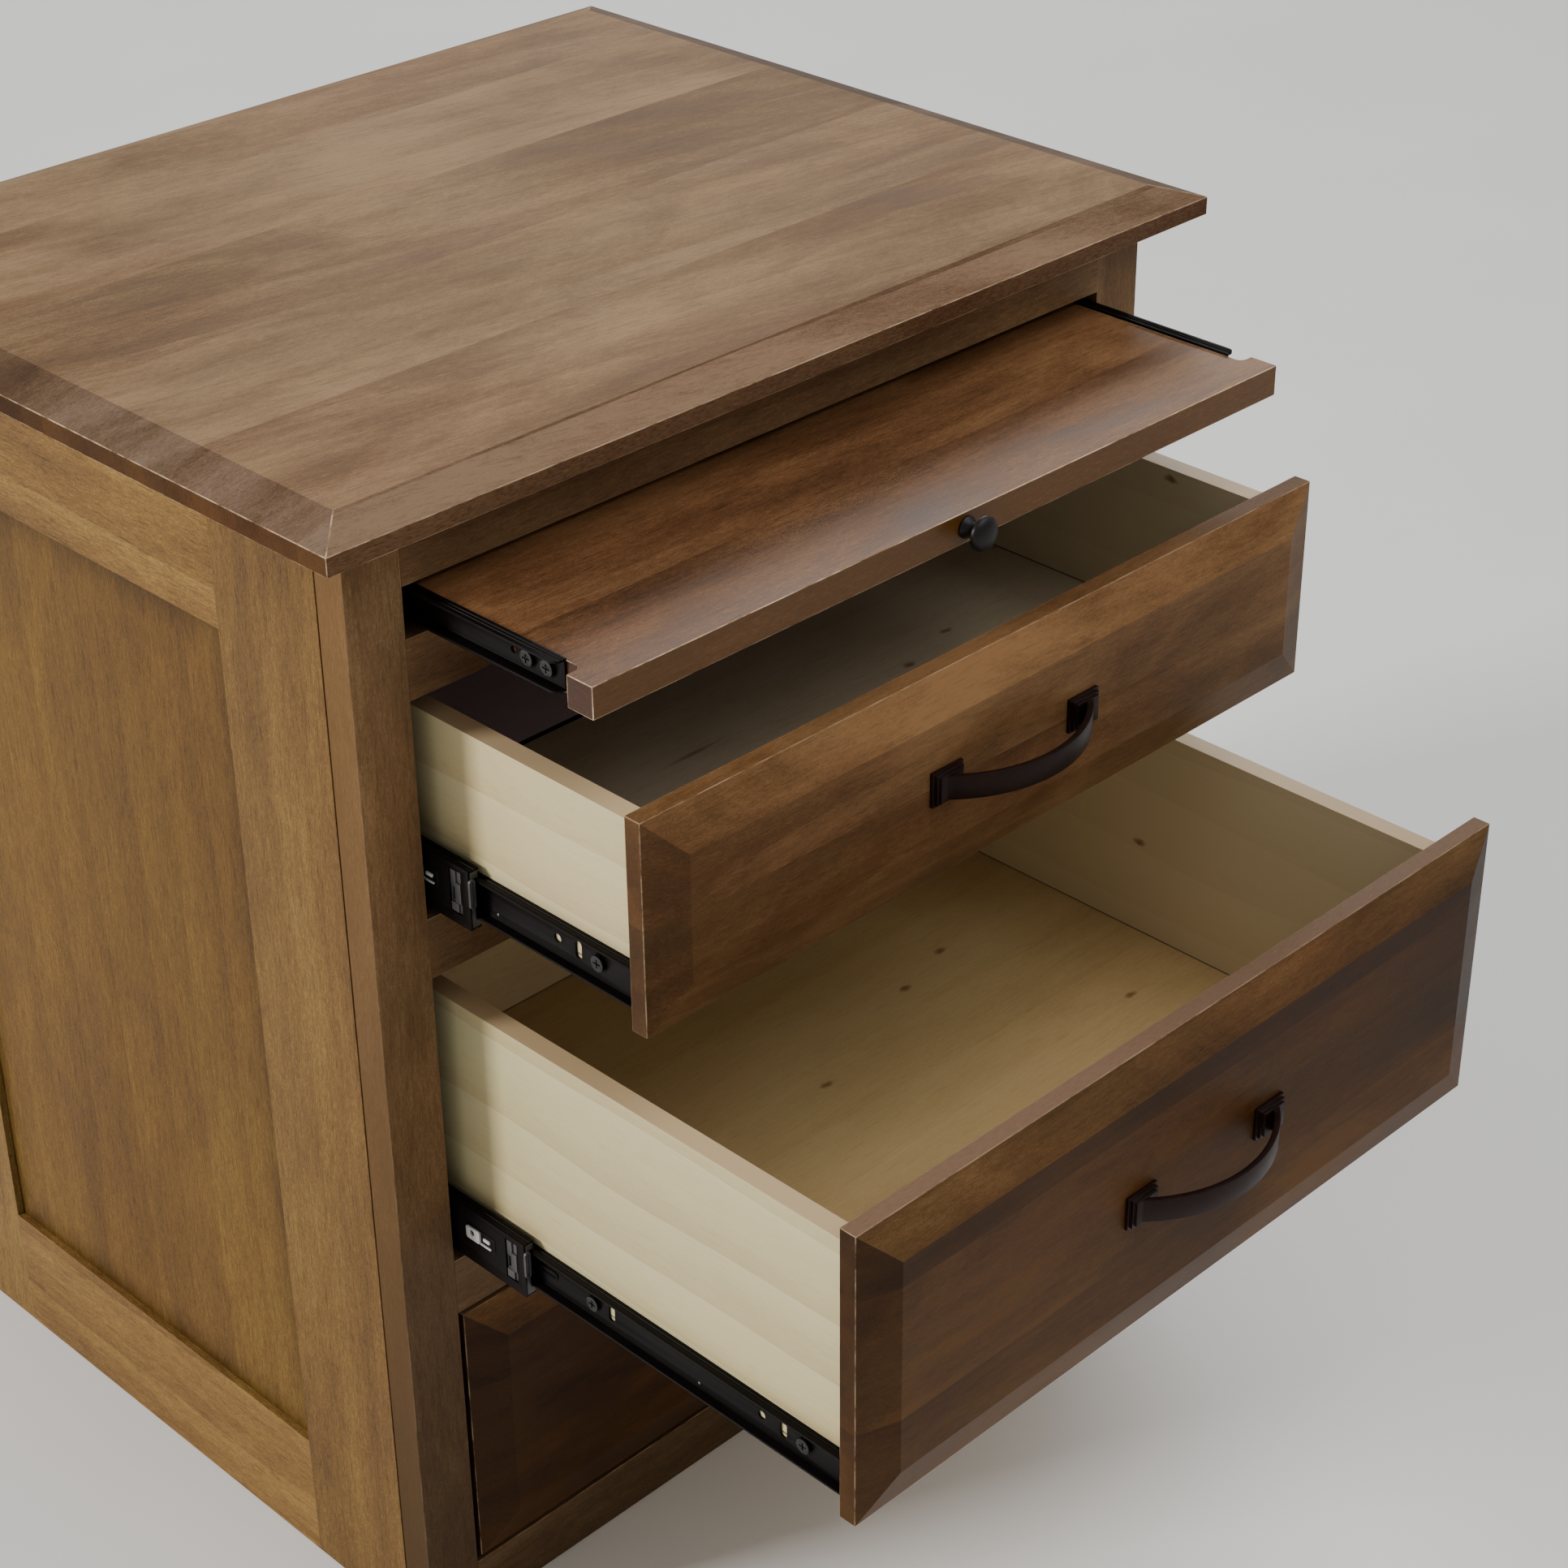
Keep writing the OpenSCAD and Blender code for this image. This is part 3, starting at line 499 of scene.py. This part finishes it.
def ease(obj, width, angle=None, material=-1):
    """Rounds an object's edges, by angle or by their marks; material is the rounding's slot."""
    bevel = obj.modifiers.new("ease", "BEVEL")
    bevel.width = width
    bevel.segments = 2
    bevel.limit_method = "WEIGHT" if angle is None else "ANGLE"
    if angle is not None:
        bevel.angle_limit = math.radians(angle)
    bevel.material = material
    bevel.use_clamp_overlap = True
    bevel.miter_outer = "MITER_ARC"


def split(obj):
    obj.modifiers.new("split", "EDGE_SPLIT").split_angle = math.radians(METAL_SHARP)


for number, (node, (grain, across, colours, look)) in enumerate(sorted(WOOD.items())):
    seed = number + 3
    mark_edges(NODES[node].data, standing_free(node))
    repaint(NODES[node], (wood(node, grain, across, colours, seed, **look),
                          wood(node + "_edge", grain, across, colours, seed, worn=WORN, **look)), False)
    ease(NODES[node], WOOD_EDGE, material=EDGE_SLOT)

# Each metal or plastic material slot's paint and the rounding of its edges
METAL = {"black_slide_steel": (STEEL, 0.30 * MM), "zinc_steel": (ZINC, 0.25 * MM),
         "dark_bronze": (BRONZE, 0.5 * MM), "stop_plastic": (SMOKE, 0.25 * MM)}
for node, obj in NODES.items():
    if node in WOOD:
        continue
    paint, rounding = METAL[SLOT_OF[node]]
    if node == "tray_knob":
        paint = BLACK
    elif node.endswith("_screws"):
        paint = SCREW
    repaint(obj, (paint,), True)
    if not node.endswith("_cages"):
        ease(obj, rounding, METAL_SHARP)
    split(obj)

# ------------------------------------------------------------------ small pieces of the slides

PIECE_SHARP = 50.0
LOOP_POINTS = 32


def outline(kind, size, place):
    """Points (y, z) in mm round a place: a plate's or a slot's half sizes, or a round hole's radius."""
    y0, z0 = place
    loop = []
    for i in range(LOOP_POINTS):
        a = 2 * math.pi * (i + 0.5) / LOOP_POINTS
        c, s = math.cos(a), math.sin(a)
        if kind == "round":
            loop.append((y0 + size[0] * c, z0 + size[0] * s))
        elif kind == "slot":
            loop.append((y0 + size[1] * c + math.copysign(size[0] - size[1], c), z0 + size[1] * s))
        else:
            reach = 1.0 / max(abs(c), abs(s))
            loop.append((y0 + size[0] * c * reach, z0 + size[1] * s * reach))
    return loop


def join_rings(bm, first, second):
    """Faces between two rings of as many points."""
    for i in range(len(first)):
        j = (i + 1) % len(first)
        bm.faces.new((first[i], first[j], second[j], second[i]))


def new_piece(name, bm, paint, rounding):
    """An object with eased edges from a closed mesh."""
    bmesh.ops.recalc_face_normals(bm, faces=bm.faces)
    mesh = bpy.data.meshes.new(name)
    bm.to_mesh(mesh)
    bm.free()
    mesh.materials.append(paint)
    obj = bpy.data.objects.new(name, mesh)
    bpy.context.collection.objects.link(obj)
    ease(obj, rounding * MM, PIECE_SHARP)
    return obj


def slide_piece(name, outer, hole, x0, x1, paint, body, rounding=0.12):
    """A small plate on a slide's web from x0 to x1 (mm) with an outline and, if given, a hole."""
    bm = bmesh.new()
    loops = [outer] if hole is None else [outer, hole]
    rings = [[[bm.verts.new((x * MM, y * MM, z * MM)) for y, z in loop] for x in (x0, x1)]
             for loop in loops]
    for near, far in rings:
        join_rings(bm, near, far)
    for side in (0, 1):
        if hole is None:
            bm.faces.new(rings[0][side])
        else:
            join_rings(bm, rings[0][side], rings[1][side])
    obj = new_piece(name, bm, paint, rounding)
    for polygon in obj.data.polygons:
        polygon.use_smooth = True
    split(obj)
    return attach(obj, body)


def label(name, low, high, floor, thick, radius, paint, body):
    """A thin plate with rounded corners lying on a floor; low and high are its (x, y) corners in mm."""
    loop = []
    left, right = low[0] + radius, high[0] - radius
    front, back = low[1] + radius, high[1] - radius
    for cx, cy, start in ((right, back, 0), (left, back, 90), (left, front, 180), (right, front, 270)):
        for step in range(7):
            a = math.radians(start + 15 * step)
            loop.append((cx + radius * math.cos(a), cy + radius * math.sin(a)))
    bm = bmesh.new()
    rings = [[bm.verts.new((x * MM, y * MM, floor + z * MM)) for x, y in loop] for z in (0.0, thick)]
    join_rings(bm, *rings)
    for ring in rings:
        bm.faces.new(ring)
    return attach(new_piece(name, bm, paint, 0.08), body)


# In mm: how far the webs of the middle members and drawer members lie from X 0, each slide's height,
# how deep a piece sits in its web, and where the pieces lie behind a member's front end
MIDDLE_WEB, MEMBER_WEB = 230.8, 222.5
SLIDE_HEIGHT = dict(zip(DRAWERS, (459.0, 257.0, 55.0)))
SUNK = 0.1
CATCH_BACK, CATCH_UP = 37.4, 2.6
SLOT_BACK = 200.5
RIVET_BACK, RIVET_DOWN = 96.0, 6.0

for drawer in DRAWERS:
    middle, member = drawer + "_middle", drawer + "_drawer"
    middle_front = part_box(drawer + "_middle_members")[0].y / MM
    member_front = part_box(drawer + "_slide_members")[0].y / MM
    z = SLIDE_HEIGHT[drawer]
    for hand, sign in zip(HANDS, (-1.0, 1.0)):
        web = MIDDLE_WEB * sign
        base = web - SUNK * sign
        y, up = middle_front + CATCH_BACK, z + CATCH_UP
        slide_piece(f"{drawer}_catch_frame_{hand}", outline("plate", (10.75, 4.4), (y - 5.15, up)),
                    outline("plate", (10.15, 3.8), (y - 5.15, up)), base, web + 0.5 * sign,
                    BLACK, middle)
        slide_piece(f"{drawer}_catch_{hand}", outline("plate", (4.9, 3.6), (y, up)),
                    outline("round", (1.75,), (y + 0.6, up + 0.6)), base, web + 1.2 * sign,
                    PALE, middle)
        slide_piece(f"{drawer}_catch_spring_{hand}", outline("plate", (4.0, 0.4), (y - 8.8, up - 3.2)),
                    None, base, web + 0.8 * sign, PALE, middle)
        slide_piece(f"{drawer}_catch_lug_{hand}", outline("plate", (2.3, 0.9), (y - 9.7, up + 0.5)),
                    None, base, web + 0.8 * sign, PALE, middle)
        web = MEMBER_WEB * sign
        base = web - SUNK * sign
        spot = (member_front + SLOT_BACK, z)
        rivet = (member_front + RIVET_BACK, z - RIVET_DOWN)
        slide_piece(f"{drawer}_member_slot_{hand}", outline("slot", (6.5, 2.3), spot),
                    outline("slot", (5.3, 1.1), spot), base, web + 0.6 * sign,
                    STEEL, member, 0.2)
        slide_piece(f"{drawer}_member_rivet_{hand}", outline("round", (0.8,), rivet), None,
                    base, web + 0.35 * sign, ZINC, member, 0.1)

# A blank label at the back left of the upper drawer's floor, with a dark strip along its front edge: a
# painted shadow of that edge on the floor
drawer_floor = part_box("upper_box_bottom")[1].z
label("blank_label", (-190.0, -155.7), (0.0, 0.0), drawer_floor, 0.3, 2.0, LABEL, "upper_drawer")
label("blank_label_edge_shadow", (-190.0, -158.7), (0.0, -155.5), drawer_floor, 0.45, 0.6, LABEL_EDGE_SHADOW,
      "upper_drawer")

# ------------------------------------------------------------------ stage, light and camera

LENS = 73.97
CAMERA_AT = (-0.9975, -1.2302, 1.2533)
CAMERA_AZIMUTH = 44.762
CAMERA_DOWN = 30.732
CAMERA_ROLL = -0.6
SENSOR = 36.0

bpy.ops.mesh.primitive_plane_add(size=14.0, location=(0.0, 1.0, -0.0005))
floor = bpy.context.object
floor.name = "floor"
floor_paint = Graph("floor_paint")
pale = floor_paint.ramp(floor_paint.noise(floor_paint.placed(), 3.0, 4.0), [(0.3, 0.80), (0.7, 0.84)])
floor_paint.set(Base_Color=pale, Roughness=0.65)
floor.data.materials.append(floor_paint.material)

world = bpy.data.worlds.new("studio")
world.use_nodes = True
world.node_tree.nodes["Background"].inputs[0].default_value = (1.0, 0.985, 0.96, 1.0)
world.node_tree.nodes["Background"].inputs[1].default_value = 0.46
bpy.context.scene.world = world


def lamp(name, place, target, size, power, colour=(1.0, 1.0, 1.0)):
    """A rectangular area light that looks at a target."""
    data = bpy.data.lights.new(name, "AREA")
    data.shape = "RECTANGLE"
    data.size, data.size_y = size
    data.energy = power
    data.color = colour
    obj = bpy.data.objects.new(name, data)
    obj.location = place
    obj.rotation_euler = (Vector(target) - Vector(place)).to_track_quat("-Z", "Y").to_euler()
    bpy.context.collection.objects.link(obj)


lamp("key", (-3.6, 1.6, 1.9), (0.0, -0.1, 0.4), (0.9, 1.1), 190.0, (1.0, 0.97, 0.93))
lamp("overhead", (0.7, -1.4, 3.1), (0.0, -0.2, 0.4), (2.8, 2.4), 52.0)
lamp("far_panel", (3.2, 3.2, 2.9), (0.0, -0.1, 0.6), (2.6, 1.8), 70.0)

camera_data = bpy.data.cameras.new("camera")
camera_data.lens = LENS
camera_data.sensor_width = SENSOR
camera = bpy.data.objects.new("camera", camera_data)
camera.matrix_world = (Matrix.Translation(CAMERA_AT)
                       @ Matrix.Rotation(math.radians(-CAMERA_AZIMUTH), 4, "Z")
                       @ Matrix.Rotation(math.radians(90.0 - CAMERA_DOWN), 4, "X")
                       @ Matrix.Rotation(math.radians(CAMERA_ROLL), 4, "Z"))
bpy.context.collection.objects.link(camera)
bpy.context.scene.camera = camera
